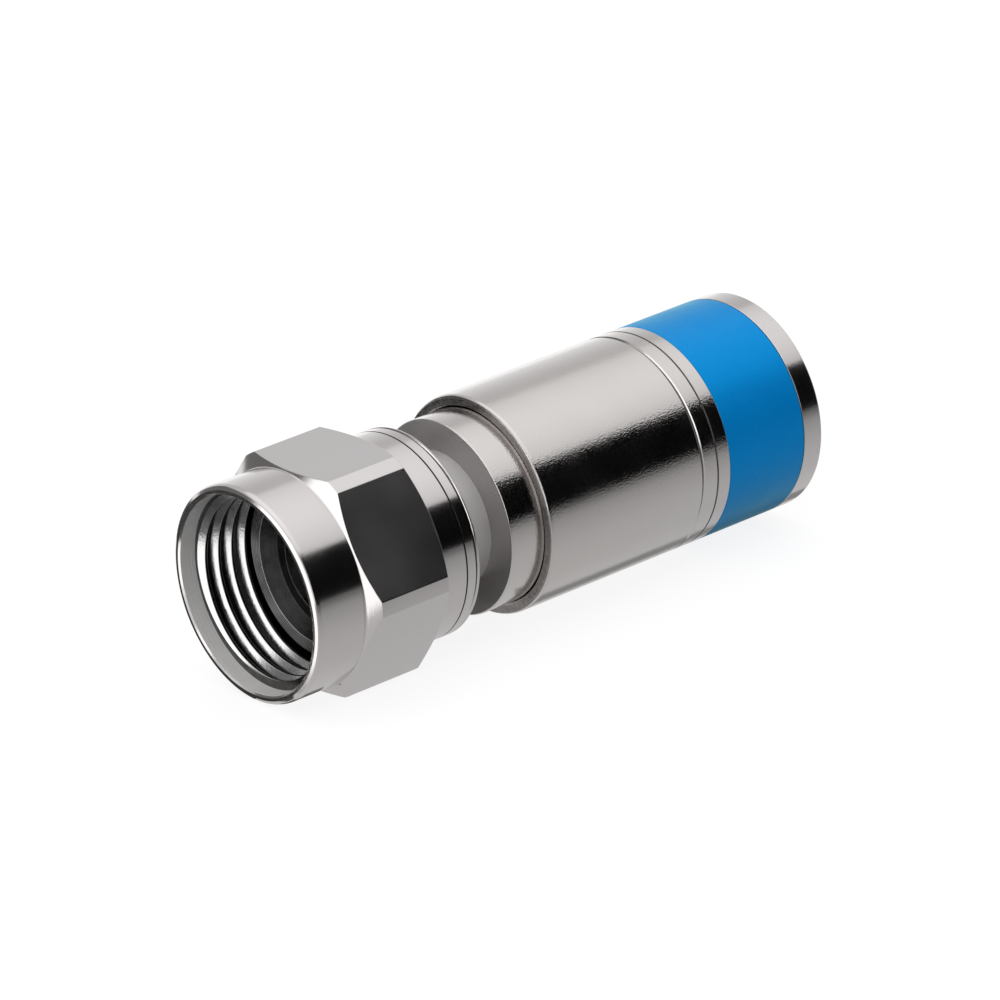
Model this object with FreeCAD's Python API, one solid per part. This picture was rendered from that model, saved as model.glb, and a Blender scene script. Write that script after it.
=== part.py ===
import FreeCAD, Part
import math
import os

# Coaxial plug with a turning nut and a press sleeve, lying on one flat of its nut.
# The plug's axis runs along X, the nut's mouth looks towards -X, the cable comes in from +X.
# Sizes in millimetres and degrees; "_d" is a diameter, and lengths run along the axis.

# Clearances and travels
nut_float = 2.14
face_gap = 0.05
flange_thread_clearance = 0.1
neck_clearance = 0.08
seal_clearance = 0.05
seal_side_clearance = 0.1
barrel_clearance = 0.04
grip_gap = 0.1
grip_bore_clearance = 0.05

# Post: a thin tube with the dished contact flange in front and barbs at the rear
post_bore_d = 5.0
post_flange_length = 1.25
post_face_width = 0.57
post_dish_depth = 0.65
post_dish_ledge = 0.6
post_press_wall = 0.5
post_tail_wall = 0.3
post_tip_wall = 0.1
post_barb_height = 0.175
post_barb_length = 0.9
post_barb_step = 0.15
post_barb_count = 3
post_tail_reach = 11.2

# Body: the neck, the front flange and the barrel under the sleeve
body_neck_wall = 0.38
body_barrel_d = 9.8
body_barrel_wall = 0.75
body_web = 1.2
body_length = 8.8
body_edge = 0.08
body_barrel_nose = 0.3

# Seal ring inside the nut
seal_cord_d = 1.2

# Thread of the nut, 3/8-32 UNEF, left as a plain wall at its major diameter
thread_d = 9.53
thread_tip_d = 8.8
thread_length = 2.8
thread_relief_depth = 0.17

# Coupling nut
nut_flats = 11.0
nut_corner_turned = 0.21
nut_cone_angle = 30.0
nut_skirt_wall = 0.465
nut_skirt_length = 2.85
nut_hex_length = 3.98
nut_collar_wall = 0.52
nut_collar_length = 2.2
nut_mouth_step = 0.165
nut_mouth_depth = 0.95
nut_mouth_bevel = 0.08
nut_rim_round = 0.32
nut_tail_round = 0.2
nut_chamber_length = 1.35
nut_front_lip = 1.3
nut_wrench_line = 0.83
nut_edge_line = 0.32
nut_line_width = 0.1

# Press sleeve
sleeve_wall = 0.56
sleeve_length = 17.48
sleeve_show = 1.95
sleeve_lip_round = 0.16
sleeve_lip_bevel = 0.12
sleeve_edge = 0.1
sleeve_entry_d = 7.7
sleeve_entry_length = 2.8
sleeve_entry_bevel = 0.35
sleeve_seat_angle = 35.0
sleeve_end_ring = 1.15
sleeve_deep_line = 1.74
sleeve_deep_line_width = 0.2
sleeve_fine_line = 0.81
sleeve_fine_line_width = 0.1

# Marking band in the sleeve's recess
band_length = 4.89
band_wall = 0.2

# Grip ring inside the sleeve
grip_lead = 0.4
grip_nose = 0.7

# Diameters that follow from the walls
post_press_d = post_bore_d + 2 * post_press_wall
post_tail_d = post_bore_d + 2 * post_tail_wall
post_barb_d = post_tail_d + 2 * post_barb_height
post_tip_d = post_bore_d + 2 * post_tip_wall
post_dish_floor_d = post_bore_d + 2 * post_dish_ledge
flange_d = thread_tip_d - 2 * flange_thread_clearance
neck_d = post_press_d + 2 * body_neck_wall
barrel_bore_d = body_barrel_d - 2 * body_barrel_wall
lip_d = neck_d + 2 * neck_clearance
seal_groove_d = neck_d + 2 * seal_cord_d + 4 * seal_clearance
thread_relief_d = thread_d + 2 * thread_relief_depth
mouth_d = thread_d + 2 * nut_mouth_step
skirt_d = thread_relief_d + 2 * nut_skirt_wall
collar_d = seal_groove_d + 2 * nut_collar_wall
corner_d = nut_flats / math.cos(math.pi / 6) - 2 * nut_corner_turned
sleeve_bore_d = body_barrel_d + 2 * barrel_clearance
sleeve_d = sleeve_bore_d + 2 * sleeve_wall
grip_bore_d = sleeve_entry_d + 2 * grip_bore_clearance

# Places along the axis, measured from the nut's rim with the nut pulled forward
cone_slope = math.tan(math.radians(nut_cone_angle))
hex_x = nut_skirt_length + (corner_d - skirt_d) / 2 * cone_slope
hex_end_x = hex_x + nut_hex_length
collar_x = hex_end_x + (corner_d - collar_d) / 2 * cone_slope
nut_end_x = collar_x + nut_collar_length
relief_x = nut_mouth_depth + thread_length
chamber_end_x = relief_x + nut_chamber_length
seal_groove_x = chamber_end_x + nut_front_lip
seal_groove_end_x = seal_groove_x + seal_cord_d + 2 * seal_side_clearance
flange_back_x = chamber_end_x - face_gap
post_face_x = flange_back_x - post_flange_length
body_face_x = nut_end_x + nut_float + face_gap
web_back_x = body_face_x + body_web
body_end_x = body_face_x + body_length
post_end_x = web_back_x + post_tail_reach
sleeve_x = body_face_x + sleeve_show
sleeve_end_x = sleeve_x + sleeve_length
band_x = sleeve_end_x - sleeve_end_ring - band_length
entry_x = sleeve_end_x - sleeve_entry_length
seat_slope = math.tan(math.radians(sleeve_seat_angle))
seat_x = entry_x - (sleeve_bore_d - sleeve_entry_d) / 2 / seat_slope
grip_x = body_end_x + sleeve_show + grip_gap
grip_end_x = seat_x + grip_nose

# The axis lies half the nut's width above the ground, and the origin is under the middle
axis_z = nut_flats / 2
middle_x = sleeve_end_x / 2
axis_point = FreeCAD.Vector(-middle_x, 0, axis_z)
along = FreeCAD.Vector(1, 0, 0)


def spot(x, r):
    """Point of a half section at distance x behind the rim and r from the axis."""
    return FreeCAD.Vector(x - middle_x, 0, axis_z + r)


def half_section(corners):
    """Closed outline through (x, r, rounding) corners, each rounded by its arc."""
    starts = []
    ends = []
    arcs = []
    for k, (x, r, rounding) in enumerate(corners):
        here = spot(x, r)
        before = spot(*corners[k - 1][:2])
        after = spot(*corners[(k + 1) % len(corners)][:2])
        back = (before - here).normalize()
        ahead = (after - here).normalize()
        half = back.getAngle(ahead) / 2
        cut = rounding / math.tan(half)
        starts.append(here + back * cut)
        ends.append(here + ahead * cut)
        if rounding > 0:
            inward = (back + ahead).normalize()
            top = here + inward * (rounding / math.sin(half) - rounding)
            arcs.append(Part.Arc(starts[k], top, ends[k]).toShape())
    sides = []
    for k, start in enumerate(starts):
        sides.append(Part.makeLine(ends[k - 1], start))
    return Part.Wire(Part.__sortEdges__(sides + arcs))


def turned(corners):
    """Solid of revolution about the plug's axis."""
    return Part.Face(half_section(corners)).revolve(axis_point, along, 360)


def sharp(*points):
    """Corners without a rounding."""
    return [(x, r, 0) for x, r in points]


def line_cut(x, d, width):
    """Ring of a fine V line turned into a surface of diameter d at x."""
    half = width / 2
    return turned(sharp((x - half, d / 2 + half), (x + half, d / 2 + half), (x, d / 2 - half)))


def hexagon_bar():
    """Hexagonal bar as long as the nut, with a flat facing down."""
    corner_r = nut_flats / 2 / math.cos(math.pi / 6)
    corners = []
    for k in range(7):
        turn = math.pi / 3 * k
        y = corner_r * math.cos(turn)
        z = axis_z + corner_r * math.sin(turn)
        corners.append(FreeCAD.Vector(-middle_x, y, z))
    return Part.Face(Part.makePolygon(corners)).extrude(along * nut_end_x)


def coupling_nut():
    """Nut with a round skirt, turned corners, a rear collar and the seal's groove."""
    corners = [
        (0, mouth_d / 2 + nut_mouth_bevel, 0),
        (0, skirt_d / 2, nut_rim_round),
        (nut_skirt_length, skirt_d / 2, 0),
        (hex_x, corner_d / 2, 0),
        (hex_end_x, corner_d / 2, 0),
        (collar_x, collar_d / 2, 0),
        (nut_end_x, collar_d / 2, nut_tail_round),
        (nut_end_x, lip_d / 2, 0),
        (seal_groove_end_x, lip_d / 2, 0),
        (seal_groove_end_x, seal_groove_d / 2, 0),
        (seal_groove_x, seal_groove_d / 2, 0),
        (seal_groove_x, lip_d / 2, 0),
        (chamber_end_x, lip_d / 2, 0),
        (chamber_end_x, thread_relief_d / 2, 0),
        (relief_x, thread_relief_d / 2, 0),
        (relief_x, thread_d / 2, 0),
        (nut_mouth_depth, thread_d / 2, 0),
        (nut_mouth_depth, mouth_d / 2, 0),
        (nut_mouth_bevel, mouth_d / 2, 0),
    ]
    nut = turned(corners).common(hexagon_bar())
    for line in (nut_wrench_line, nut_edge_line):
        nut = nut.cut(line_cut(nut_end_x - line, collar_d, nut_line_width))
    return nut


def nut_seal():
    """Round seal ring that sits in the nut's groove and rubs on the neck."""
    ring_r = neck_d / 2 + seal_clearance + seal_cord_d / 2
    x = (seal_groove_x + seal_groove_end_x) / 2
    return Part.makeTorus(ring_r, seal_cord_d / 2, spot(x, 0), along)


def post():
    """Thin tube with the dished contact flange in front and barbs at the rear."""
    dish_x = post_face_x + post_dish_depth
    corners = sharp(
        (post_face_x, flange_d / 2 - post_face_width),
        (post_face_x, flange_d / 2),
        (flange_back_x, flange_d / 2),
        (flange_back_x, post_press_d / 2),
        (web_back_x, post_press_d / 2),
        (web_back_x, post_tail_d / 2),
    )
    barbs_x = post_end_x - post_barb_count * post_barb_length
    for k in range(post_barb_count):
        foot_x = barbs_x + k * post_barb_length
        corners += sharp((foot_x, post_tail_d / 2), (foot_x + post_barb_step, post_barb_d / 2))
    corners += sharp(
        (post_end_x, post_tip_d / 2),
        (post_end_x, post_bore_d / 2),
        (dish_x, post_bore_d / 2),
        (dish_x, post_dish_floor_d / 2),
    )
    return turned(corners)


def connector_body():
    """Neck, front flange and the barrel that the sleeve is pressed over."""
    return turned(sharp(
        (flange_back_x, post_press_d / 2),
        (flange_back_x, neck_d / 2),
        (body_face_x, neck_d / 2),
        (body_face_x, body_barrel_d / 2 - body_edge),
        (body_face_x + body_edge, body_barrel_d / 2),
        (body_end_x - body_barrel_nose, body_barrel_d / 2),
        (body_end_x, body_barrel_d / 2 - body_barrel_nose),
        (body_end_x, barrel_bore_d / 2),
        (web_back_x, barrel_bore_d / 2),
        (web_back_x, post_press_d / 2),
    ))


def compression_sleeve():
    """Sleeve with a rounded lip, two fine lines, the band's recess and the cable entry."""
    corners = [
        (sleeve_x, sleeve_bore_d / 2 + sleeve_lip_bevel, 0),
        (sleeve_x, sleeve_d / 2, sleeve_lip_round),
        (band_x, sleeve_d / 2, 0),
        (band_x, sleeve_d / 2 - band_wall, 0),
        (band_x + band_length, sleeve_d / 2 - band_wall, 0),
        (band_x + band_length, sleeve_d / 2, 0),
        (sleeve_end_x, sleeve_d / 2, sleeve_edge),
        (sleeve_end_x, sleeve_entry_d / 2 + sleeve_entry_bevel, 0),
        (sleeve_end_x - sleeve_entry_bevel, sleeve_entry_d / 2, 0),
        (entry_x, sleeve_entry_d / 2, 0),
        (seat_x, sleeve_bore_d / 2, 0),
        (sleeve_x + sleeve_lip_bevel, sleeve_bore_d / 2, 0),
    ]
    sleeve = turned(corners)
    sleeve = sleeve.cut(line_cut(band_x - sleeve_deep_line, sleeve_d, sleeve_deep_line_width))
    return sleeve.cut(line_cut(band_x - sleeve_fine_line, sleeve_d, sleeve_fine_line_width))


def marking_band():
    """Thin coloured ring that fills the sleeve's recess."""
    return turned(sharp(
        (band_x, sleeve_d / 2 - band_wall),
        (band_x, sleeve_d / 2),
        (band_x + band_length, sleeve_d / 2),
        (band_x + band_length, sleeve_d / 2 - band_wall),
    ))


def grip_ring():
    """Plastic ring that the barrel squeezes on to the cable's jacket."""
    return turned(sharp(
        (grip_x, grip_bore_d / 2 + grip_lead),
        (grip_x, sleeve_bore_d / 2),
        (seat_x, sleeve_bore_d / 2),
        (grip_end_x, sleeve_bore_d / 2 - grip_nose * seat_slope),
        (grip_end_x, grip_bore_d / 2),
        (grip_x + grip_lead, grip_bore_d / 2),
    ))


pieces = {
    "coupling_nut": coupling_nut,
    "nut_seal": nut_seal,
    "post": post,
    "connector_body": connector_body,
    "compression_sleeve": compression_sleeve,
    "marking_band": marking_band,
    "grip_ring": grip_ring,
}

os.makedirs("parts", exist_ok=True)
for name, make in pieces.items():
    piece = make()
    piece.exportStep("parts/" + name + ".step")
    print(name, len(piece.Solids), piece.isValid(), round(piece.Volume, 2))
print("axis height", axis_z, "middle", round(middle_x, 4), "nut end", round(nut_end_x, 4))
print("post face", round(post_face_x, 4), "body face", round(body_face_x, 4), "sleeve", round(sleeve_x, 4))
print("thread", nut_mouth_depth, round(relief_x, 4), "entry", round(entry_x, 4), round(sleeve_end_x, 4))
print("post bore", round(post_face_x + post_dish_depth, 4), round(post_end_x, 4), "skirt", skirt_d, "collar", collar_d)
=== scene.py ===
import math

import bmesh
import bpy
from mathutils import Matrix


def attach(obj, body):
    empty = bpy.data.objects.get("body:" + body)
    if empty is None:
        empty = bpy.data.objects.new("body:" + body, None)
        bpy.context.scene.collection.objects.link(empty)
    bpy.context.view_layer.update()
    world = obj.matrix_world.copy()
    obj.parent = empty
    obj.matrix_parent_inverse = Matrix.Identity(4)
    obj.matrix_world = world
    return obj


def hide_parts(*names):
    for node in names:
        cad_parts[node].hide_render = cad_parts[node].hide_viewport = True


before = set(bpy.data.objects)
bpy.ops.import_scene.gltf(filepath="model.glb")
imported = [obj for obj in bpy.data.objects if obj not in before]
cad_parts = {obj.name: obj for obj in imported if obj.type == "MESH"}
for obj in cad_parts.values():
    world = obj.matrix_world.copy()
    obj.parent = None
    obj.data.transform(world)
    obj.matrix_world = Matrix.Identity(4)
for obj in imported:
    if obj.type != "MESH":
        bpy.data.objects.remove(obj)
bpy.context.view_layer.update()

print("frame loaded:", ", ".join(sorted(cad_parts)))

# The plug lies along X. Distances below are in millimetres, measured from the nut's rim,
# and radii from the plug's axis, as they would be read off a drawing.
# Points closer than weld are joined, and paint may reach past an edge by margin.
# A face looks along the axis where its normal passes endFacing, and is a slope where it passes slopeFacing.
plugPlace = {
    "middle": 15.81045, "axisHeight": 5.5, "stepsRound": 192, "arcSteps": 7,
    "weld": 0.0005, "margin": 0.01, "endFacing": 0.9, "slopeFacing": 0.2,
}


# Shared modelling steps

def fromAxis(point):
    return math.hypot(point.y, point.z)


def selectFaces(piece, wanted):
    # in edit mode, leaves only the faces selected for which wanted(centre, normal) holds
    bpy.ops.mesh.select_mode(type="FACE")
    bpy.ops.mesh.select_all(action="DESELECT")
    mesh = bmesh.from_edit_mesh(piece.data)
    for face in mesh.faces:
        face.select = wanted(face.calc_center_median(), face.normal)
    mesh.select_flush_mode()
    bmesh.update_edit_mesh(piece.data)


def selectEdges(piece, wanted):
    # leaves only the edges selected for which wanted(end, other end, bend in degrees) holds
    bpy.ops.mesh.select_mode(type="EDGE")
    bpy.ops.mesh.select_all(action="DESELECT")
    mesh = bmesh.from_edit_mesh(piece.data)
    for edge in mesh.edges:
        bend = math.degrees(edge.calc_face_angle(0))
        edge.select = wanted(edge.verts[0].co, edge.verts[1].co, bend)
    mesh.select_flush_mode()
    bmesh.update_edit_mesh(piece.data)


def selectCorner(piece, x, r):
    bpy.ops.mesh.select_mode(type="VERT")
    bpy.ops.mesh.select_all(action="DESELECT")
    mesh = bmesh.from_edit_mesh(piece.data)
    mesh.verts.ensure_lookup_table()
    nearest = min(mesh.verts, key=lambda v: (v.co.x - x) ** 2 + (v.co.z - r) ** 2)
    nearest.select = True
    mesh.select_flush_mode()
    bmesh.update_edit_mesh(piece.data)


def paintFaces(piece, material, wanted):
    # gives one material to the faces for which wanted(centre, normal) holds
    if piece.data.materials.find(material.name) < 0:
        piece.data.materials.append(material)
    piece.active_material_index = piece.data.materials.find(material.name)
    selectFaces(piece, wanted)
    bpy.ops.object.material_slot_assign()


def drawOutline(name, corners):
    # one point is pulled from corner to corner, then the rounded corners get their arcs
    bpy.ops.object.select_all(action="DESELECT")
    bpy.ops.mesh.primitive_plane_add(size=0.1, location=(0, 0, 0))
    piece = bpy.context.object
    piece.name = piece.data.name = name
    bpy.ops.object.mode_set(mode="EDIT")
    bpy.ops.mesh.select_mode(type="VERT")
    bpy.ops.mesh.merge(type="CENTER")
    bpy.ops.transform.translate(value=(corners[0][0], 0, corners[0][1]))
    for here, there in zip(corners, corners[1:]):
        step = (there[0] - here[0], 0, there[1] - here[1])
        bpy.ops.mesh.extrude_vertices_move(TRANSFORM_OT_translate={"value": step})
    bpy.ops.mesh.select_all(action="SELECT")
    bpy.ops.mesh.edge_face_add()
    for x, r, rounding in corners:
        if rounding:
            selectCorner(piece, x, r)
            bpy.ops.mesh.bevel(
                offset=rounding, segments=plugPlace["arcSteps"], affect="VERTICES", clamp_overlap=False)
    bpy.ops.mesh.select_all(action="SELECT")
    bpy.ops.mesh.delete(type="ONLY_FACE")
    return piece


def turnOutline(piece):
    # spins the outline about the plug's axis, as the lathe does
    bpy.ops.mesh.select_all(action="SELECT")
    bpy.ops.mesh.spin(steps=plugPlace["stepsRound"], angle=2 * math.pi, center=(0, 0, 0), axis=(1, 0, 0))
    bpy.ops.mesh.select_all(action="SELECT")
    bpy.ops.mesh.remove_doubles(threshold=plugPlace["weld"])
    bpy.ops.mesh.normals_make_consistent(inside=False)


def finishPiece(piece, body, slot, *nodes, sharpAngle=24):
    # smooth where turned, sharp at the edges; then from millimetres into place on the axis
    bpy.ops.object.mode_set(mode="OBJECT")
    bpy.ops.object.select_all(action="DESELECT")
    piece.select_set(True)
    bpy.context.view_layer.objects.active = piece
    bpy.ops.object.shade_smooth_by_angle(angle=math.radians(sharpAngle))
    weighted = piece.modifiers.new("flat faces first", "WEIGHTED_NORMAL")
    weighted.keep_sharp = True
    bpy.ops.object.modifier_apply(modifier=weighted.name)
    piece.scale = (0.001, 0.001, 0.001)
    piece.location = (-plugPlace["middle"] / 1000, 0, plugPlace["axisHeight"] / 1000)
    bpy.ops.object.transform_apply(location=True, rotation=True, scale=True)
    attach(piece, body)
    if nodes:
        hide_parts(*nodes)
    print("modelled", piece.name, len(piece.data.polygons), "faces")


def groove(x, r, width, depth):
    # the three corners of a fine V line, from front to rear
    return [(x - width / 2, r, 0), (x, r - depth, 0), (x + width / 2, r, 0)]


# Shared material steps

def hexColor(code):
    channels = [int(code[i:i + 2], 16) / 255 for i in (0, 2, 4)]
    linear = [c / 12.92 if c <= 0.04045 else ((c + 0.055) / 1.055) ** 2.4 for c in channels]
    return (*linear, 1)


def addNode(tree, kind, settings, links=None):
    node = tree.nodes.new(kind)
    for key, value in settings.items():
        if isinstance(key, str) and hasattr(node, key):
            setattr(node, key, value)
        else:
            node.inputs[key].default_value = value
    for key, source in (links or {}).items():
        tree.links.new(source, node.inputs[key])
    return node


def newMaterial(name):
    material = bpy.data.materials.new(name)
    material.use_nodes = True
    material.node_tree.nodes.clear()
    return material, material.node_tree


# The noise textures' values lie mostly between these two, and the plate's roughness varies by these shares.
noiseSpan = {"From Min": 0.3, "From Max": 0.7}
plateSkin = {"smoother": 0.85, "rougher": 1.2}


def plugCoordinates(tree):
    # object coordinates in millimetres with the plug's axis at zero, and the distance from that axis
    place = addNode(tree, "ShaderNodeTexCoord", {})
    centred = addNode(tree, "ShaderNodeMapping", {
        "Location": (0, 0, -plugPlace["axisHeight"]), "Scale": (1000, 1000, 1000)},
        {"Vector": place.outputs["Object"]})
    parts = addNode(tree, "ShaderNodeSeparateXYZ", {}, {"Vector": centred.outputs["Vector"]})
    across = addNode(tree, "ShaderNodeCombineXYZ", {}, {"Y": parts.outputs["Y"], "Z": parts.outputs["Z"]})
    radius = addNode(tree, "ShaderNodeVectorMath", {"operation": "LENGTH"}, {0: across.outputs["Vector"]})
    return centred.outputs["Vector"], parts.outputs["X"], radius.outputs["Value"]


def platedNickel(name, look):
    # nickel plate on turned brass: warm grey metal, fine tool lines round the axis, and the plate's own grain
    material, tree = newMaterial(name)
    spot, along, radius = plugCoordinates(tree)
    travel = addNode(tree, "ShaderNodeMath", {"operation": "ADD"}, {0: along, 1: radius})
    toolLines = addNode(tree, "ShaderNodeTexNoise", {
        "noise_dimensions": "1D", "Scale": 1 / look["lineSpacing"], "Detail": 2, "Roughness": 0.6},
        {"W": travel.outputs["Value"]})
    grain = addNode(tree, "ShaderNodeTexNoise", {
        "noise_dimensions": "3D", "Scale": 1 / look["grainSize"], "Detail": 1, "Roughness": 0.5},
        {"Vector": spot})
    cloud = addNode(tree, "ShaderNodeTexNoise", {
        "noise_dimensions": "3D", "Scale": 1 / look["cloudSize"], "Detail": 2, "Roughness": 0.5},
        {"Vector": spot})
    lineBump = addNode(tree, "ShaderNodeBump", {
        "Strength": 1, "Distance": look["lineDepth"] / 1000}, {"Height": toolLines.outputs["Fac"]})
    grainBump = addNode(tree, "ShaderNodeBump", {
        "Strength": 1, "Distance": look["grainDepth"] / 1000},
        {"Height": grain.outputs["Fac"], "Normal": lineBump.outputs["Normal"]})
    roughness = addNode(tree, "ShaderNodeMapRange", {
        **noiseSpan, "To Min": look["roughness"] * plateSkin["smoother"],
        "To Max": look["roughness"] * plateSkin["rougher"]}, {"Value": cloud.outputs["Fac"]})
    # sockets 6 and 7 of a colour mix are its two colours, and its third output is the result
    tone = addNode(tree, "ShaderNodeMix", {"data_type": "RGBA"}, {"Factor": cloud.outputs["Fac"]})
    tone.inputs[6].default_value = hexColor(look["darkTone"])
    tone.inputs[7].default_value = hexColor(look["lightTone"])
    metal = addNode(tree, "ShaderNodeBsdfPrincipled", {"Metallic": look.get("metalShare", 1)}, {
        "Base Color": tone.outputs[2], "Roughness": roughness.outputs["Result"],
        "Normal": grainBump.outputs["Normal"]})
    addNode(tree, "ShaderNodeOutputMaterial", {}, {"Surface": metal.outputs["BSDF"]})
    return material


# Bright nickel on a fine turned surface: nearly a mirror, with soft edges in what it reflects.
brightNickel = platedNickel("bright nickel plate, fine turned", {
    "lightTone": "dcd8d7", "darkTone": "d7d3d2", "roughness": 0.14,
    "lineSpacing": 0.11, "lineDepth": 0.0012, "grainSize": 0.07, "grainDepth": 0.0016, "cloudSize": 2.5})

# The wrench flats are drawn bar, plated: without rings, a fine even grain.
flatNickel = platedNickel("nickel plate on drawn hexagon bar", {
    "lightTone": "dbd8d8", "darkTone": "d9d5d5", "roughness": 0.235,
    "lineSpacing": 0.4, "lineDepth": 0.0002, "grainSize": 0.08, "grainDepth": 0.0022, "cloudSize": 6.0})

# Faced ends keep the coarse marks of the parting tool, which break a reflection into dark and bright grains.
facedNickel = platedNickel("nickel plate on a coarsely faced end", {
    "lightTone": "cac6c5", "darkTone": "a09c9b", "roughness": 0.2,
    "lineSpacing": 0.12, "lineDepth": 0.002, "grainSize": 0.12, "grainDepth": 0.010, "cloudSize": 0.3})

# The sleeve is tumbled before plating: a satin skin whose grain breaks up the dark reflections.
satinNickel = platedNickel("satin nickel plate, tumbled", {
    "lightTone": "dcd8d6", "darkTone": "d6d2d0", "roughness": 0.125,
    "lineSpacing": 0.2, "lineDepth": 0.0008, "grainSize": 0.08, "grainDepth": 0.0066, "cloudSize": 2.0})

# Inside the nut and the post the tool's grooves lie close together and spread the light along the axis.
threadNickel = platedNickel("nickel plate on cut thread, tool grooves", {
    "lightTone": "dfdfde", "darkTone": "d6d6d6", "roughness": 0.18,
    "lineSpacing": 0.09, "lineDepth": 0.004, "grainSize": 0.12, "grainDepth": 0.004, "cloudSize": 0.6})

# Painted shade: the thread's valleys, crests, rear flanks and cut ends, the bore's step before the thread and
# the walls of the contact face's rings are painted dark beside the bright front flanks.
paintedShadeNickel = platedNickel("nickel plate in the thread's valleys", {
    "lightTone": "7c7b7a", "darkTone": "4c4b4a", "roughness": 0.2,
    "lineSpacing": 0.1, "lineDepth": 0.004, "grainSize": 0.12, "grainDepth": 0.004, "cloudSize": 0.5})

# The mouth before the thread is bored plain and left dull: the rough plate scatters much of the light.
mouthNickel = platedNickel("dull nickel plate, bored", {
    "lightTone": "f4f3f2", "darkTone": "eceae9", "roughness": 0.34, "metalShare": 0.1,
    "lineSpacing": 0.07, "lineDepth": 0.020, "grainSize": 0.12, "grainDepth": 0.004, "cloudSize": 0.8})

# The neck is burnished for the nut to turn on: bright, with a soft scatter.
neckNickel = platedNickel("nickel plate on the burnished neck", {
    "lightTone": "eae8e6", "darkTone": "dedcda", "roughness": 0.18, "metalShare": 0.3,
    "lineSpacing": 0.15, "lineDepth": 0.0008, "grainSize": 0.1, "grainDepth": 0.001, "cloudSize": 2.0})

# The body's front face is faced fine: it mirrors the neck and the nut's tail, a little softened. Its colour
# is painted darker than the plate elsewhere, as shade on the face behind the nut.
flangeShadeNickel = platedNickel("nickel plate on the body's faced front", {
    "lightTone": "b8b4b4", "darkTone": "aca8a7", "roughness": 0.24, "metalShare": 0.5,
    "lineSpacing": 0.15, "lineDepth": 0.0005, "grainSize": 0.12, "grainDepth": 0.0006, "cloudSize": 2.0})

# The nut's tail was parted off and is rougher than the turned skin beside it; its colour is painted dark, as
# the shade between the nut and the body's face, which that face mirrors.
tailShadeNickel = platedNickel("dull nickel plate on the nut's tail, painted dark as shade", {
    "lightTone": "8c8886", "darkTone": "7e7a78", "roughness": 0.3,
    "lineSpacing": 0.12, "lineDepth": 0.001, "grainSize": 0.12, "grainDepth": 0.002, "cloudSize": 1.0})

# The sleeve's lip is cut off and only barrelled, and uneven; it is painted darker than the skin beside it, as
# shade, and the sleeve's bore gets the same painted shade.
lipShadeNickel = platedNickel("nickel plate on a cut lip", {
    "lightTone": "a8a4a2", "darkTone": "767270", "roughness": 0.22,
    "lineSpacing": 0.12, "lineDepth": 0.003, "grainSize": 0.12, "grainDepth": 0.006, "cloudSize": 0.25})

# The post's contact ring is faced with a pointed tool, with fine rings that stay visible; its grey is painted
# shade, deep in the nut's mouth.
ringShadeNickel = platedNickel("nickel plate on the faced contact ring", {
    "lightTone": "b0b0b3", "darkTone": "929295", "roughness": 0.42,
    "lineSpacing": 0.12, "lineDepth": 0.020, "grainSize": 0.12, "grainDepth": 0.006, "cloudSize": 0.4})

# Down in the post's recess the plate is dull, and its colour is painted dark as shade in the recess.
recessShadeNickel = platedNickel("dull nickel plate painted dark as shade in a recess", {
    "lightTone": "484948", "darkTone": "2b2c2b", "roughness": 0.34,
    "lineSpacing": 0.16, "lineDepth": 0.030, "grainSize": 0.12, "grainDepth": 0.008, "cloudSize": 0.5})

# A scribed groove is painted dark as the shade inside it.
scribedShadeNickel = platedNickel("nickel plate painted dark as shade in a scribed groove", {
    "lightTone": "6e6b6a", "darkTone": "454342", "roughness": 0.3,
    "lineSpacing": 0.1, "lineDepth": 0.002, "grainSize": 0.08, "grainDepth": 0.004, "cloudSize": 0.5})


def blueFoil(look):
    # coloured metal foil: deep blue in the shade, and the foil below the tinted lacquer gives
    # a bluish green glint, so it counts as part metal, and the lacquer's refractive index
    # stands above that of plain lacquer
    material, tree = newMaterial("blue lacquered aluminium foil, flake grain")
    spot = plugCoordinates(tree)[0]
    flakes = addNode(tree, "ShaderNodeTexNoise", {
        "noise_dimensions": "3D", "Scale": 1 / look["flakeSize"], "Detail": 1, "Roughness": 0.5},
        {"Vector": spot})
    cloud = addNode(tree, "ShaderNodeTexNoise", {
        "noise_dimensions": "3D", "Scale": 1 / look["cloudSize"], "Detail": 2, "Roughness": 0.5},
        {"Vector": spot})
    shade = addNode(tree, "ShaderNodeMapRange", noiseSpan, {"Value": flakes.outputs["Fac"]})
    tone = addNode(tree, "ShaderNodeMix", {"data_type": "RGBA"}, {"Factor": shade.outputs["Result"]})
    tone.inputs[6].default_value = hexColor(look["deepBlue"])
    tone.inputs[7].default_value = hexColor(look["clearBlue"])
    flakeBump = addNode(tree, "ShaderNodeBump", {
        "Strength": 1, "Distance": look["flakeDepth"] / 1000}, {"Height": flakes.outputs["Fac"]})
    roughness = addNode(tree, "ShaderNodeMapRange", {
        **noiseSpan, "To Min": look["roughness"] * look["smoother"],
        "To Max": look["roughness"] * look["rougher"]}, {"Value": cloud.outputs["Fac"]})
    foil = addNode(tree, "ShaderNodeBsdfPrincipled", {
        "Metallic": look["foilShare"], "IOR": look["lacquerIor"],
        "Specular Tint": hexColor(look["glintTint"])}, {
        "Base Color": tone.outputs[2], "Roughness": roughness.outputs["Result"],
        "Normal": flakeBump.outputs["Normal"]})
    addNode(tree, "ShaderNodeOutputMaterial", {}, {"Surface": foil.outputs["BSDF"]})
    return material


bandFoil = blueFoil({
    "clearBlue": "0094ee", "deepBlue": "008ae8", "glintTint": "00ff70", "lacquerIor": 1.65, "foilShare": 0.25,
    "roughness": 0.38, "smoother": 0.9, "rougher": 1.1,
    "flakeSize": 0.06, "flakeDepth": 0.004, "cloudSize": 1.5})


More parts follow.
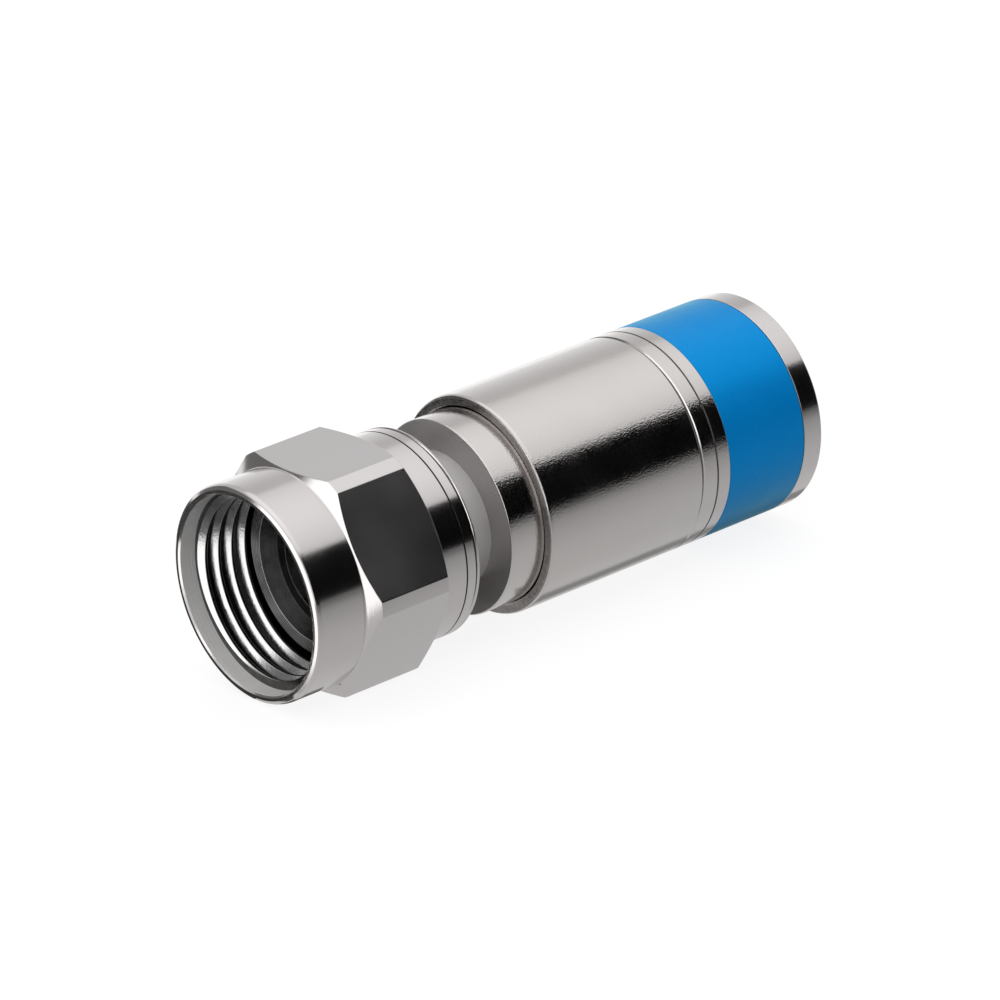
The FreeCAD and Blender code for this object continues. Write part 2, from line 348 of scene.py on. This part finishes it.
def softPlastic(name, look):
    # moulded soft goods of the plug: dull skin with a faint orange-peel and slight tone changes
    material, tree = newMaterial(name)
    spot = plugCoordinates(tree)[0]
    peel = addNode(tree, "ShaderNodeTexNoise", {
        "noise_dimensions": "3D", "Scale": 1 / look["peelSize"], "Detail": 2, "Roughness": 0.5},
        {"Vector": spot})
    tone = addNode(tree, "ShaderNodeMix", {"data_type": "RGBA"}, {"Factor": peel.outputs["Fac"]})
    tone.inputs[6].default_value = hexColor(look["darkTone"])
    tone.inputs[7].default_value = hexColor(look["lightTone"])
    bump = addNode(tree, "ShaderNodeBump", {
        "Strength": 1, "Distance": look["peelDepth"] / 1000}, {"Height": peel.outputs["Fac"]})
    skin = addNode(tree, "ShaderNodeBsdfPrincipled", {"Roughness": look["roughness"]}, {
        "Base Color": tone.outputs[2], "Normal": bump.outputs["Normal"]})
    addNode(tree, "ShaderNodeOutputMaterial", {}, {"Surface": skin.outputs["BSDF"]})
    return material


# Nitrile rubber, moulded: black, dull, slightly uneven.
sealRubber = softPlastic("black nitrile rubber, moulded", {
    "lightTone": "2a2a2a", "darkTone": "1c1c1c", "roughness": 0.6, "peelSize": 0.15, "peelDepth": 0.004})

# Natural acetal, moulded: milky white with a faint sheen.
gripAcetal = softPlastic("natural white acetal, moulded", {
    "lightTone": "ece9e1", "darkTone": "e2dfd6", "roughness": 0.42, "peelSize": 0.3, "peelDepth": 0.003})
print("materials made")


# Coupling nut: turned outline, six wrench flats, and the thread inside

nut = {
    "acrossFlats": 11.0, "cornerRadius": 6.1409, "skirtRadius": 5.4, "skirtLength": 2.85,
    "hexStart": 3.2775, "hexEnd": 7.2575, "collarStart": 7.8007, "collarRadius": 5.2, "end": 10.0009,
    "mouthRadius": 4.93, "mouthDepth": 0.95, "mouthBevel": 0.08,
    "rimFlat": 5.16, "rimCone": 0.10, "rimShoulder": 5.33, "rimRound": 0.16, "rimEdge": 0.06,
    "skirtEdge": 0.08, "footRound": 0.04, "tailRound": 0.12, "lipEdge": 0.05,
    "threadRadius": 4.765, "threadEnd": 3.75, "reliefRadius": 4.935, "reliefEnd": 5.1,
    "lipRadius": 3.46, "sealStart": 6.4, "sealEnd": 7.8, "sealRadius": 4.68,
    "fineLine": 9.171, "fineWidth": 0.09, "fineDepth": 0.08,
    "tailLine": 9.77, "tailWidth": 0.15, "tailDepth": 0.11,
    "firstFlat": 30, "flatTilt": 0.001, "flatMargin": 0.02,
    "edgeRound": 0.035, "sharpBend": 12, "bevelClear": 0.05,
}


def buildNut():
    outline = [
        (0, nut["mouthRadius"] + nut["mouthBevel"], 0),
        (0, nut["rimFlat"], 0),
        (nut["rimCone"], nut["rimShoulder"], nut["rimEdge"]),
        (nut["rimCone"] + nut["rimRound"], nut["skirtRadius"], nut["skirtEdge"]),
        (nut["skirtLength"], nut["skirtRadius"], nut["footRound"]),
        (nut["hexStart"], nut["cornerRadius"], 0),
        (nut["hexEnd"], nut["cornerRadius"], 0),
        (nut["collarStart"], nut["collarRadius"], nut["footRound"]),
        *groove(nut["fineLine"], nut["collarRadius"], nut["fineWidth"], nut["fineDepth"]),
        *groove(nut["tailLine"], nut["collarRadius"], nut["tailWidth"], nut["tailDepth"]),
        (nut["end"], nut["collarRadius"], nut["tailRound"]),
        (nut["end"], nut["lipRadius"], nut["lipEdge"]),
        (nut["sealEnd"], nut["lipRadius"], 0),
        (nut["sealEnd"], nut["sealRadius"], 0),
        (nut["sealStart"], nut["sealRadius"], 0),
        (nut["sealStart"], nut["lipRadius"], 0),
        (nut["reliefEnd"], nut["lipRadius"], 0),
        (nut["reliefEnd"], nut["reliefRadius"], 0),
        (nut["threadEnd"], nut["reliefRadius"], 0),
        (nut["threadEnd"], nut["threadRadius"], 0),
        (nut["mouthDepth"], nut["threadRadius"], 0),
        (nut["mouthDepth"], nut["mouthRadius"], 0),
        (nut["mouthBevel"], nut["mouthRadius"], 0),
    ]
    piece = drawOutline("couplingNut", outline)
    turnOutline(piece)
    # half a step's turn, so that no saw cut passes close beside a line of the mesh
    bpy.ops.mesh.select_all(action="SELECT")
    halfStep = math.pi / plugPlace["stepsRound"]
    bpy.ops.transform.rotate(value=halfStep, orient_axis="X", center_override=(0, 0, 0))
    flat = nut["acrossFlats"] / 2
    for k in range(6):
        turn = math.radians(nut["firstFlat"] + 60 * k)
        side = (0, math.cos(turn), math.sin(turn))
        bpy.ops.mesh.select_all(action="SELECT")
        bpy.ops.mesh.bisect(
            plane_co=[flat * c for c in side], plane_no=side, use_fill=True, clear_outer=True,
            threshold=plugPlace["weld"])
    bpy.ops.mesh.select_all(action="SELECT")
    bpy.ops.mesh.remove_doubles(threshold=plugPlace["weld"])
    bpy.ops.mesh.normals_make_consistent(inside=False)
    selectEdges(piece, lambda a, b, bend: bend > nut["sharpBend"]
                and min(fromAxis(a), fromAxis(b)) > nut["skirtRadius"] + nut["bevelClear"])
    bpy.ops.mesh.bevel(offset=nut["edgeRound"], segments=2, affect="EDGES", clamp_overlap=True)
    paintFaces(piece, brightNickel, lambda c, n: True)
    margin, along, slope = plugPlace["margin"], plugPlace["endFacing"], plugPlace["slopeFacing"]
    paintFaces(piece, flatNickel, lambda c, n: abs(n.x) < nut["flatTilt"]
               and abs(fromAxis(c) - flat) < nut["flatMargin"] and nut["hexStart"] < c.x < nut["hexEnd"])
    paintFaces(piece, facedNickel, lambda c, n: c.x < margin and n.x < -along)
    paintFaces(piece, mouthNickel, lambda c, n: nut["mouthBevel"] < c.x < nut["mouthDepth"] - margin
               and fromAxis(c) < nut["mouthRadius"] + margin)
    # painted shade: the threaded bore between the ridges and the step before it are painted dark
    paintFaces(piece, paintedShadeNickel, lambda c, n: nut["mouthDepth"] - margin < c.x < nut["reliefEnd"] + margin
               and fromAxis(c) < nut["reliefRadius"] + margin)
    # painted shade: the nut's tail is painted dark
    paintFaces(piece, tailShadeNickel, lambda c, n: c.x > nut["end"] - margin and n.x > along)
    # painted shade: the walls of the collar's fine line and the rear wall of its tail line are painted dark
    paintFaces(piece, scribedShadeNickel, lambda c, n: fromAxis(c) > nut["sealRadius"] and (
        abs(c.x - nut["fineLine"]) < nut["fineWidth"] / 2 and abs(n.x) > slope
        or abs(c.x - nut["tailLine"]) < nut["tailWidth"] / 2 and n.x > slope))
    return piece


# The front flanks are the faces whose normal's share along the axis lies within frontFlank.
thread = {
    "pitch": 0.79375, "rootRadius": 4.80, "tipRadius": 4.47,
    "rootWidth": 0.64, "tipWidth": 0.14, "tipRound": 0.03,
    "start": 0.953, "end": 3.747, "lead": 1.089, "turns": 6, "stepsPerTurn": 144,
    "frontFlank": (-0.99, -0.4), "sharpAngle": 35,
}


def buildThread():
    # one ridge wound along the bore, then trimmed at the entry step and at the relief
    turns = thread["turns"]
    first = thread["start"] - thread["lead"]
    rootHalf, tipHalf = thread["rootWidth"] / 2, thread["tipWidth"] / 2
    piece = drawOutline("nutThread", [
        (first - rootHalf, thread["rootRadius"], 0),
        (first - tipHalf, thread["tipRadius"], thread["tipRound"]),
        (first + tipHalf, thread["tipRadius"], thread["tipRound"]),
        (first + rootHalf, thread["rootRadius"], 0),
    ])
    bpy.ops.object.mode_set(mode="OBJECT")
    winding = piece.modifiers.new("winding", "SCREW")
    winding.axis = "X"
    winding.angle = 2 * math.pi * turns
    winding.screw_offset = thread["pitch"] * turns
    winding.steps = winding.render_steps = thread["stepsPerTurn"] * turns
    winding.use_smooth_shade = True
    bpy.ops.object.modifier_apply(modifier=winding.name)
    bpy.ops.object.mode_set(mode="EDIT")
    for x, side in ((thread["start"], -1), (thread["end"], 1)):
        bpy.ops.mesh.select_all(action="SELECT")
        bpy.ops.mesh.bisect(
            plane_co=(x, 0, 0), plane_no=(side, 0, 0), use_fill=True, clear_outer=True,
            threshold=plugPlace["weld"])
    bpy.ops.mesh.select_all(action="SELECT")
    bpy.ops.mesh.normals_make_consistent(inside=False)
    paintFaces(piece, threadNickel, lambda c, n: True)
    steepest, flattest = thread["frontFlank"]
    # painted shade: the ridge's crests, rear flanks and cut ends are painted dark
    paintFaces(piece, paintedShadeNickel, lambda c, n: n.x < steepest or n.x > flattest)
    return piece


nutPiece = buildNut()
finishPiece(nutPiece, "nut", "nut_metal", "coupling_nut")
threadPiece = buildThread()
finishPiece(threadPiece, "nut", "nut_metal", sharpAngle=thread["sharpAngle"])


# Post: dished contact flange, thin tube, three barbs for the cable's braid

post = {
    "face": 3.8, "flangeBack": 5.05, "flangeRadius": 4.3, "faceWidth": 0.66,
    "dishFloor": 4.45, "dishRadius": 3.1, "boreRadius": 2.5,
    "pressRadius": 3.0, "pressEnd": 13.3909, "tailRadius": 2.8, "end": 24.5909, "tipRadius": 2.6,
    "barbRadius": 2.975, "barbStart": 21.8909, "barbLength": 0.9, "barbStep": 0.15, "barbs": 3,
    "faceRings": (3.74, 3.86, 3.98, 4.10, 4.21),
    "ringWidth": 0.07, "ringDepth": 0.035, "ringWall": (-0.8, -0.5),
    "fineEdge": 0.03, "flangeEdge": 0.06, "barbEdge": 0.02, "boreEdge": 0.04,
    "faceMargin": 0.03, "dishMargin": 0.02,
}


def faceRing(r):
    # the three corners of a fine ring in the contact face, from the inside outwards
    face, half = post["face"], post["ringWidth"] / 2
    return [(face, r - half, 0), (face + post["ringDepth"], r, 0), (face, r + half, 0)]


def buildPost():
    outline = [
        (post["face"], post["flangeRadius"] - post["faceWidth"], post["fineEdge"]),
        *[corner for r in post["faceRings"] for corner in faceRing(r)],
        (post["face"], post["flangeRadius"], post["flangeEdge"]),
        (post["flangeBack"], post["flangeRadius"], post["flangeEdge"]),
        (post["flangeBack"], post["pressRadius"], 0),
        (post["pressEnd"], post["pressRadius"], 0),
        (post["pressEnd"], post["tailRadius"], 0),
    ]
    for k in range(post["barbs"]):
        foot = post["barbStart"] + k * post["barbLength"]
        outline += [
            (foot, post["tailRadius"], 0),
            (foot + post["barbStep"], post["barbRadius"], post["barbEdge"]),
        ]
    outline += [
        (post["end"], post["tipRadius"], post["fineEdge"]),
        (post["end"], post["boreRadius"], post["fineEdge"]),
        (post["dishFloor"], post["boreRadius"], post["boreEdge"]),
        (post["dishFloor"], post["dishRadius"], post["fineEdge"]),
    ]
    piece = drawOutline("contactPost", outline)
    turnOutline(piece)
    paintFaces(piece, brightNickel, lambda c, n: True)
    # the contact face is painted grey and the walls of its rings darker, as shade deep in the nut's mouth,
    # and the dish behind them is dull and painted dark as shade in the recess
    faceEnd = post["face"] + post["faceMargin"]
    steepest, flattest = post["ringWall"]
    paintFaces(piece, ringShadeNickel, lambda c, n: c.x < faceEnd and n.x < flattest)
    paintFaces(piece, paintedShadeNickel, lambda c, n: c.x < faceEnd and steepest < n.x < flattest)
    near = post["dishMargin"]
    paintFaces(piece, recessShadeNickel, lambda c, n: post["face"] + near < c.x < post["dishFloor"] + near
               and fromAxis(c) < post["flangeRadius"] - post["faceWidth"] + near)
    paintFaces(piece, threadNickel, lambda c, n: c.x > post["dishFloor"] + 2 * near
               and fromAxis(c) < post["boreRadius"] + near)
    return piece


postPiece = buildPost()
finishPiece(postPiece, "plug_body", "post_metal", "post")


# Body: neck, front flange and the barrel under the sleeve

bodyShape = {
    "neckStart": 5.05, "neckRadius": 3.38, "face": 12.1909, "faceTilt": 0.95,
    "barrelRadius": 4.9, "edge": 0.08, "end": 20.9909, "nose": 0.3,
    "barrelBore": 4.15, "boreEdge": 0.05, "webBack": 13.3909, "pressRadius": 3.0,
}


def buildBody():
    b = bodyShape
    piece = drawOutline("connectorBody", [
        (b["neckStart"], b["pressRadius"], 0),
        (b["neckStart"], b["neckRadius"], 0),
        (b["face"], b["neckRadius"], 0),
        (b["face"], b["barrelRadius"], b["edge"]),
        (b["end"] - b["nose"], b["barrelRadius"], 0),
        (b["end"], b["barrelRadius"] - b["nose"], 0),
        (b["end"], b["barrelBore"], b["boreEdge"]),
        (b["webBack"], b["barrelBore"], 0),
        (b["webBack"], b["pressRadius"], 0),
    ])
    turnOutline(piece)
    paintFaces(piece, satinNickel, lambda c, n: True)
    paintFaces(piece, neckNickel, lambda c, n: c.x < b["face"] - plugPlace["margin"])
    # painted shade: the body's front face is painted darker than the plate
    paintFaces(piece, flangeShadeNickel, lambda c, n: n.x < -b["faceTilt"]
               and abs(c.x - b["face"]) < plugPlace["margin"])
    return piece


bodyPiece = buildBody()
finishPiece(bodyPiece, "plug_body", "body_metal", "connector_body")


# Sleeve: rounded lip, two fine lines, the recess under the band, the entry for the cable

sleeve = {
    "lip": 14.1409, "radius": 5.5, "bore": 4.94, "lipRound": 0.2, "lipBevel": 0.08,
    "lipTilt": 0.8, "lipMargin": 0.03, "boreMargin": 0.02,
    "deepLine": 23.84, "deepWidth": 0.2, "deepDepth": 0.1, "deepShift": 0.03,
    "fineLine": 24.77, "fineWidth": 0.1, "fineDepth": 0.05,
    "bandStart": 25.58, "bandEnd": 30.47, "recess": 0.2, "recessRound": 0.04, "end": 31.6209, "endRound": 0.1,
    "entryRadius": 3.85, "entryBevel": 0.35, "entryEdge": 0.06, "entryStart": 28.8209, "seat": 27.2643,
}


def buildSleeve():
    s = sleeve
    piece = drawOutline("compressionSleeve", [
        (s["lip"], s["bore"] + s["lipBevel"], 0),
        (s["lip"], s["radius"], s["lipRound"]),
        (s["deepLine"] - s["deepWidth"] / 2, s["radius"], 0),
        (s["deepLine"] + s["deepShift"], s["radius"] - s["deepDepth"], 0),
        (s["deepLine"] + s["deepWidth"] / 2, s["radius"], 0),
        *groove(s["fineLine"], s["radius"], s["fineWidth"], s["fineDepth"]),
        (s["bandStart"], s["radius"], s["recessRound"]),
        (s["bandStart"], s["radius"] - s["recess"], 0),
        (s["bandEnd"], s["radius"] - s["recess"], 0),
        (s["bandEnd"], s["radius"], s["recessRound"]),
        (s["end"], s["radius"], s["endRound"]),
        (s["end"], s["entryRadius"] + s["entryBevel"], s["entryEdge"]),
        (s["end"] - s["entryBevel"], s["entryRadius"], s["entryEdge"]),
        (s["entryStart"], s["entryRadius"], 0),
        (s["seat"], s["bore"], 0),
        (s["lip"] + s["lipBevel"], s["bore"], 0),
    ])
    turnOutline(piece)
    paintFaces(piece, satinNickel, lambda c, n: True)
    # painted shade: the lip's face and the sleeve's bore are painted darker than the skin
    paintFaces(piece, lipShadeNickel, lambda c, n: c.x < s["lip"] + s["lipRound"] and n.x < -s["lipTilt"])
    paintFaces(piece, lipShadeNickel, lambda c, n: s["lip"] + s["lipMargin"] < c.x < s["seat"]
               and fromAxis(c) < s["bore"] + s["boreMargin"])
    # the end ring is polished, and so is the front slope of the deep line, which catches the light
    slope, deepHalf, fineHalf = plugPlace["slopeFacing"], s["deepWidth"] / 2, s["fineWidth"] / 2
    paintFaces(piece, brightNickel, lambda c, n: c.x > s["bandEnd"])
    paintFaces(piece, brightNickel, lambda c, n: abs(c.x - s["deepLine"]) < deepHalf and n.x < -slope)
    # painted shade: the deep line's rear slope and the fine line's walls are painted dark
    paintFaces(piece, scribedShadeNickel, lambda c, n: abs(c.x - s["deepLine"]) < deepHalf and n.x > slope
               or abs(c.x - s["fineLine"]) < fineHalf and abs(n.x) > slope)
    return piece


sleevePiece = buildSleeve()
finishPiece(sleevePiece, "sleeve", "sleeve_metal", "compression_sleeve")


# Marking band: a thin ring that fills the recess

band = {"start": 25.59, "end": 30.435, "radius": 5.5, "wall": 0.2, "edgeRound": 0.05}


def buildBand():
    b = band
    piece = drawOutline("markingBand", [
        (b["start"], b["radius"] - b["wall"], 0),
        (b["start"], b["radius"], b["edgeRound"]),
        (b["end"], b["radius"], b["edgeRound"]),
        (b["end"], b["radius"] - b["wall"], 0),
    ])
    turnOutline(piece)
    piece.data.materials.append(bandFoil)
    return piece


bandPiece = buildBand()
finishPiece(bandPiece, "sleeve", "band_blue", "marking_band")


# Grip ring: the plastic ring in the sleeve, with a lead for the barrel and a cone at its seat

grip = {
    "start": 23.0409, "bore": 3.9, "outer": 4.94, "lead": 0.4,
    "seat": 27.2643, "end": 27.9643, "endRadius": 4.4498, "edge": 0.05, "boreEdge": 0.1,
}


def buildGrip():
    g = grip
    piece = drawOutline("gripRing", [
        (g["start"], g["bore"] + g["lead"], g["edge"]),
        (g["start"], g["outer"], g["edge"]),
        (g["seat"], g["outer"], 0),
        (g["end"], g["endRadius"], g["edge"]),
        (g["end"], g["bore"], g["boreEdge"]),
        (g["start"] + g["lead"], g["bore"], 0),
    ])
    turnOutline(piece)
    piece.data.materials.append(gripAcetal)
    return piece


gripPiece = buildGrip()
finishPiece(gripPiece, "sleeve", "grip_plastic", "grip_ring")


# The seal ring's own solid has the right shape, so it only gets its rubber

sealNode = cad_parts["nut_seal"]
sealNode.data.materials.clear()
sealNode.data.materials.append(sealRubber)
print("pieces done")


# Studio: pale floor, two soft boxes, and cards that only the metal sees

studio = {
    "floorSize": 3.0, "floorDrop": 0.00002, "cardHeight": 0.0001,
    "overheadHeight": 0.5, "overheadBack": 0.40, "overheadFront": -0.48,
    "overheadLeft": -0.5, "overheadRight": 0.95, "overheadGlow": 0.26, "overheadSpread": 120,
    "sideDistance": 0.5, "sideLeft": -0.21, "sideRight": 0.30, "sideHeight": 0.4, "sideLift": 0.002,
    "sideGlow": 0.9, "sideSpread": 180,
    "wallLow": 0.92, "wallHigh": 0.6, "wallTop": 0.5, "skyWhite": 1.0,
    "paperTone": "7c7c7c", "paperWhite": 0.86,
    "paperGlow": (
        (-0.100, 0.0), (-0.045, 0.0), (-0.029, 0.16), (-0.0185, 0.23), (-0.0137, 0.285),
        (-0.011, 0.325), (-0.0079, 0.38), (-0.0058, 0.42), (-0.0047, 0.46), (-0.0035, 0.50),
        (0.0, 0.53), (0.012, 0.60), (0.030, 0.88), (0.1, 0.95)),
}


def softBox(name, centre, size, aim, glow, spread):
    # a rectangular lamp of even brightness: its power follows from its area; a honeycomb narrows its spread
    lamp = bpy.data.lights.new(name, "AREA")
    lamp.shape = "RECTANGLE"
    lamp.size, lamp.size_y = size
    lamp.energy = glow * math.pi * size[0] * size[1]
    lamp.spread = math.radians(spread)
    box = bpy.data.objects.new(name, lamp)
    bpy.context.scene.collection.objects.link(box)
    box.location = centre
    box.rotation_euler = aim


overheadSize = (studio["overheadRight"] - studio["overheadLeft"],
                studio["overheadBack"] - studio["overheadFront"])
overheadCentre = ((studio["overheadRight"] + studio["overheadLeft"]) / 2,
                  (studio["overheadBack"] + studio["overheadFront"]) / 2, studio["overheadHeight"])
softBox("overhead soft box", overheadCentre, overheadSize, (0, 0, 0),
        studio["overheadGlow"], studio["overheadSpread"])
sideSize = (studio["sideHeight"], studio["sideRight"] - studio["sideLeft"])
sideCentre = (-studio["sideDistance"], (studio["sideLeft"] + studio["sideRight"]) / 2,
              studio["sideHeight"] / 2 + studio["sideLift"])
softBox("side soft box", sideCentre, sideSize, (0, math.radians(-90), 0),
        studio["sideGlow"], studio["sideSpread"])


def addCard(name, centre, size, turn, glow, fade=None):
    # a studio card, turned by degrees and seen by reflections only;
    # fade = (share of its length, glow at its right end)
    bpy.ops.object.select_all(action="DESELECT")
    bpy.ops.mesh.primitive_plane_add(size=1, location=centre, rotation=[math.radians(a) for a in turn])
    card = bpy.context.object
    card.name = name
    card.scale = (size[0], size[1], 1)
    card.visible_camera = card.visible_diffuse = card.visible_shadow = False
    material, tree = newMaterial(name)
    glowing = addNode(tree, "ShaderNodeEmission", {"Color": (1, 1, 1, 1), "Strength": glow})
    if fade:
        place = addNode(tree, "ShaderNodeTexCoord", {})
        parts = addNode(tree, "ShaderNodeSeparateXYZ", {}, {"Vector": place.outputs["Object"]})
        falling = addNode(tree, "ShaderNodeMapRange", {
            "interpolation_type": "SMOOTHSTEP", "From Min": 0.5 - fade[0], "From Max": 0.5,
            "To Min": glow, "To Max": fade[1]}, {"Value": parts.outputs["X"]})
        tree.links.new(falling.outputs["Result"], glowing.inputs["Strength"])
    addNode(tree, "ShaderNodeOutputMaterial", {}, {"Surface": glowing.outputs["Emission"]})
    card.data.materials.append(material)


def addFloorCard(name, left, right, front, back, glow):
    centre = ((left + right) / 2, (front + back) / 2, studio["cardHeight"])
    addCard(name, centre, (right - left, back - front), (0, 0, 0), glow)


# dark around the camera's right and behind the plug's front end, white to the left of the plug
addCard("black side card", centre=(0.17, -0.25, 0.125), size=(0.7, 0.25), turn=(90, 0, 0), glow=0.0)
addCard("black rear card", centre=(-0.12, 0.208, 0.0725), size=(0.23, 0.145), turn=(90, 0, 30), glow=0.16)
addFloorCard("black card by the side card", left=-0.1, right=0.6, front=-0.25, back=-0.085, glow=0.0)
addFloorCard("white card under the side box", left=-0.5, right=-0.060, front=-0.12, back=0.06, glow=1.5)
addCard("white card near the nut", centre=(-0.0465, 0.0071, 0.00012), size=(0.046, 0.045), turn=(0, 0, 25),
        glow=1.5, fade=(0.087, 0.5))
addCard("black card beside the nut", centre=(-0.0527, 0.0318, 0.00015), size=(0.097, 0.014), turn=(0, 0, -35),
        glow=0.06)
addCard("black card behind the nut", centre=(-0.0380, 0.0607, 0.00015), size=(0.088, 0.050), turn=(0, 0, -35),
        glow=0.08)

# the shades in which the plug stands on the paper, as its metal sees them
addFloorCard("contact shade behind the collar",
             left=-0.0105, right=-0.004, front=-0.001, back=0.006, glow=0.2)
addFloorCard("contact shade under the sleeve",
             left=-0.001, right=0.022, front=-0.0036, back=-0.0026, glow=0.27)
addFloorCard("contact shade before the rim",
             left=-0.0175, right=-0.01595, front=-0.0025, back=0.0035, glow=0.08)
addFloorCard("contact shade under the nut",
             left=-0.0157, right=-0.0132, front=-0.0026, back=-0.0016, glow=0.15)


def buildFloor():
    bpy.ops.object.select_all(action="DESELECT")
    bpy.ops.mesh.primitive_plane_add(size=studio["floorSize"], location=(0, 0, -studio["floorDrop"]))
    floor = bpy.context.object
    floor.name = "studio floor"
    material, tree = newMaterial("pale paper floor")
    place = addNode(tree, "ShaderNodeTexCoord", {})
    parts = addNode(tree, "ShaderNodeSeparateXYZ", {}, {"Vector": place.outputs["Object"]})
    # the paper's glow in the metal falls off from the plug towards the dark side of the studio
    near, far = studio["paperGlow"][-1][0], studio["paperGlow"][0][0]
    across = addNode(tree, "ShaderNodeMapRange", {
        "From Min": far, "From Max": near}, {"Value": parts.outputs["Y"]})
    falloff = addNode(tree, "ShaderNodeValToRGB", {}, {"Fac": across.outputs["Result"]})
    steps = falloff.color_ramp.elements
    while len(steps) < len(studio["paperGlow"]):
        steps.new(0.5)
    for step, (y, glow) in zip(steps, studio["paperGlow"]):
        step.position = (y - far) / (near - far)
        step.color = (glow, glow, glow, 1)
    rays = addNode(tree, "ShaderNodeLightPath", {})
    forGloss = addNode(tree, "ShaderNodeMath", {"operation": "MAXIMUM"}, {
        0: rays.outputs["Is Glossy Ray"], 1: rays.outputs["Is Transmission Ray"]})
    glossGlow = addNode(tree, "ShaderNodeMath", {"operation": "MULTIPLY"}, {
        0: forGloss.outputs["Value"], 1: falloff.outputs["Color"]})
    cameraGlow = addNode(tree, "ShaderNodeMath", {"operation": "MULTIPLY", 1: studio["paperWhite"]}, {
        0: rays.outputs["Is Camera Ray"]})
    glow = addNode(tree, "ShaderNodeMath", {"operation": "ADD"}, {
        0: glossGlow.outputs["Value"], 1: cameraGlow.outputs["Value"]})
    paper = addNode(tree, "ShaderNodeBsdfDiffuse", {"Color": hexColor(studio["paperTone"])})
    light = addNode(tree, "ShaderNodeEmission", {}, {"Strength": glow.outputs["Value"]})
    both = addNode(tree, "ShaderNodeAddShader", {}, {0: paper.outputs["BSDF"], 1: light.outputs["Emission"]})
    addNode(tree, "ShaderNodeOutputMaterial", {}, {"Surface": both.outputs["Shader"]})
    floor.data.materials.append(material)


buildFloor()


def buildWorld():
    # white to the camera; to the metal a pale wall that darkens with height
    world = bpy.data.worlds.new("pale studio")
    world.use_nodes = True
    bpy.context.scene.world = world
    tree = world.node_tree
    tree.nodes.clear()
    place = addNode(tree, "ShaderNodeTexCoord", {})
    parts = addNode(tree, "ShaderNodeSeparateXYZ", {}, {"Vector": place.outputs["Generated"]})
    wall = addNode(tree, "ShaderNodeMapRange", {
        "From Min": 0.0, "From Max": studio["wallTop"],
        "To Min": studio["wallLow"], "To Max": studio["wallHigh"]}, {"Value": parts.outputs["Z"]})
    rays = addNode(tree, "ShaderNodeLightPath", {})
    # sockets 2 and 3 of a number mix are its two numbers
    strength = addNode(tree, "ShaderNodeMix", {
        "data_type": "FLOAT"}, {"Factor": rays.outputs["Is Camera Ray"]})
    strength.inputs[3].default_value = studio["skyWhite"]
    tree.links.new(wall.outputs["Result"], strength.inputs[2])
    light = addNode(tree, "ShaderNodeBackground", {"Color": (1, 1, 1, 1)}, {"Strength": strength.outputs[0]})
    addNode(tree, "ShaderNodeOutputWorld", {}, {"Surface": light.outputs["Background"]})


buildWorld()
print("studio done")


# Camera at the photo's angle: long lens, a little rolled

view = {
    "lens": 234.782, "sensor": 36,
    "place": (-0.181410, -0.222764, 0.127566), "turn": (66.891, 3.4933, -40.6208),
}

photoCamera = bpy.data.cameras.new("photo camera")
photoCamera.lens = view["lens"]
photoCamera.sensor_width = view["sensor"]
cameraObject = bpy.data.objects.new("photo camera", photoCamera)
bpy.context.scene.collection.objects.link(cameraObject)
cameraObject.location = view["place"]
cameraObject.rotation_euler = [math.radians(a) for a in view["turn"]]
bpy.context.scene.camera = cameraObject
bpy.context.scene.view_settings.view_transform = "Standard"

print("camera set")
